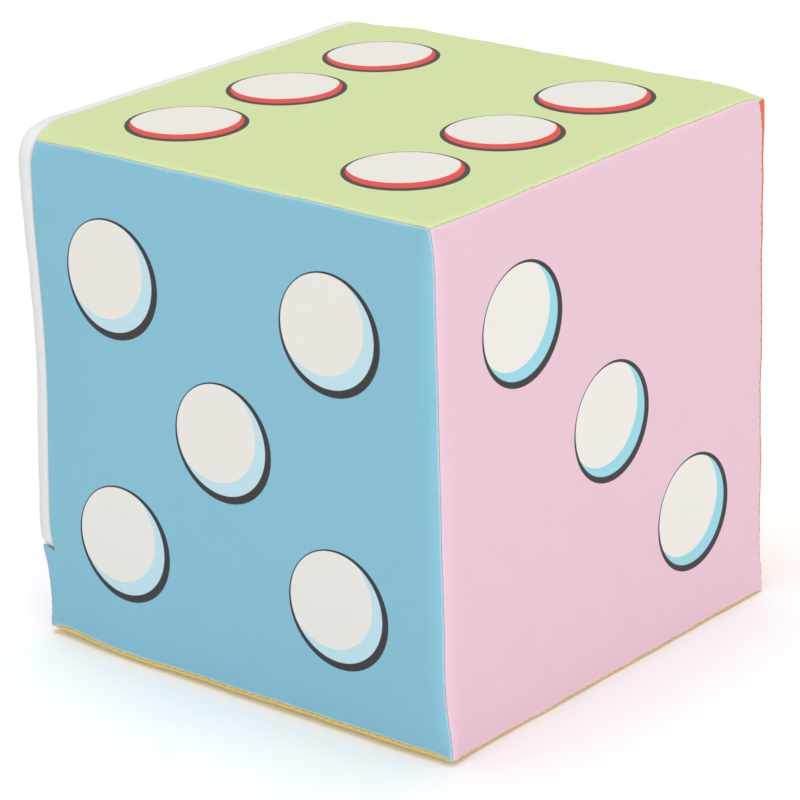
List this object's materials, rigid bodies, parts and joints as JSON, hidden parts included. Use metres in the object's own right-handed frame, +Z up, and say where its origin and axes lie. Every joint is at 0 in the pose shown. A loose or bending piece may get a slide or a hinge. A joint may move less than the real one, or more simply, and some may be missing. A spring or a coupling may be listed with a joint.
{
  "type": "foam dice",
  "caption": "Soft toy dice: a foam cube in a sewn cloth cover of differently coloured panels, with a side flap that opens on a zip whose slider carries a pull tab.",
  "frame": {"origin": "middle of the face that the dice rests on, in the plane of that face", "axes": "+Z up; the blue front face points to -Y, the pink face to +X, the green face to +Z and the zipped flap to -X"},
  "size_m": [0.2045, 0.2, 0.2],
  "materials": {
    "foam": "cream open-cell polyurethane foam",
    "cloth_blue": "matte smooth blue printed polyester cloth",
    "cloth_pink": "matte smooth pink printed polyester cloth",
    "cloth_green": "matte smooth pale green printed polyester cloth",
    "cloth_orange": "matte smooth orange printed polyester cloth",
    "cloth_yellow": "matte smooth yellow printed polyester cloth",
    "cloth_purple": "matte smooth lilac printed polyester cloth",
    "seam_thread": "beige polyester sewing thread",
    "zip_tape": "white woven zip tape",
    "zip_plastic": "white moulded plastic",
    "slider_metal": "white lacquered die-cast metal"
  },
  "bodies": {
    "cube": {"foam_core": "foam", "front_panel": "cloth_blue", "right_panel": "cloth_pink", "top_panel": "cloth_green", "back_panel": "cloth_orange", "bottom_panel": "cloth_yellow", "left_panel_base": "cloth_purple", "zip_tape_body": "zip_tape", "zip_tape_end_front": "zip_tape", "zip_tape_end_back": "zip_tape", "zip_teeth_body": "zip_plastic", "zip_bottom_stop": "zip_plastic", "zip_top_stop_body": "zip_plastic", "zip_top_stop_flap": "zip_plastic", "seam_bottom_front": "seam_thread", "seam_bottom_back": "seam_thread", "seam_bottom_right": "seam_thread", "seam_bottom_left": "seam_thread", "seam_top_front": "seam_thread", "seam_top_back": "seam_thread", "seam_top_right": "seam_thread", "seam_front_right": "seam_thread", "seam_back_right": "seam_thread", "seam_front_left": "seam_thread", "seam_back_left": "seam_thread"},
    "flap": {"left_panel_flap": "cloth_purple", "zip_tape_flap": "zip_tape", "zip_teeth_flap": "zip_plastic"},
    "slider": {"zip_slider": "slider_metal"},
    "pull": {"zip_pull": "slider_metal"}
  },
  "joints": [
    {"name": "flap_fold", "type": "hinge", "parent": "cube", "child": "flap", "pos_m": [-0.1, 0, 0.038], "axis": [0, -1, 0], "range_deg": [0, 100]},
    {"name": "zip_slide", "type": "slide", "parent": "cube", "child": "slider", "axis": [0, 0, 1], "range_m": [0, 0.148], "deforming": ["zip_teeth_body", "zip_teeth_flap"]},
    {"name": "pull_swing", "type": "hinge", "parent": "slider", "child": "pull", "pos_m": [-0.10225, 0.092, 0.0284], "axis": [0, 1, 0], "range_deg": [0, 180]}
  ]
}
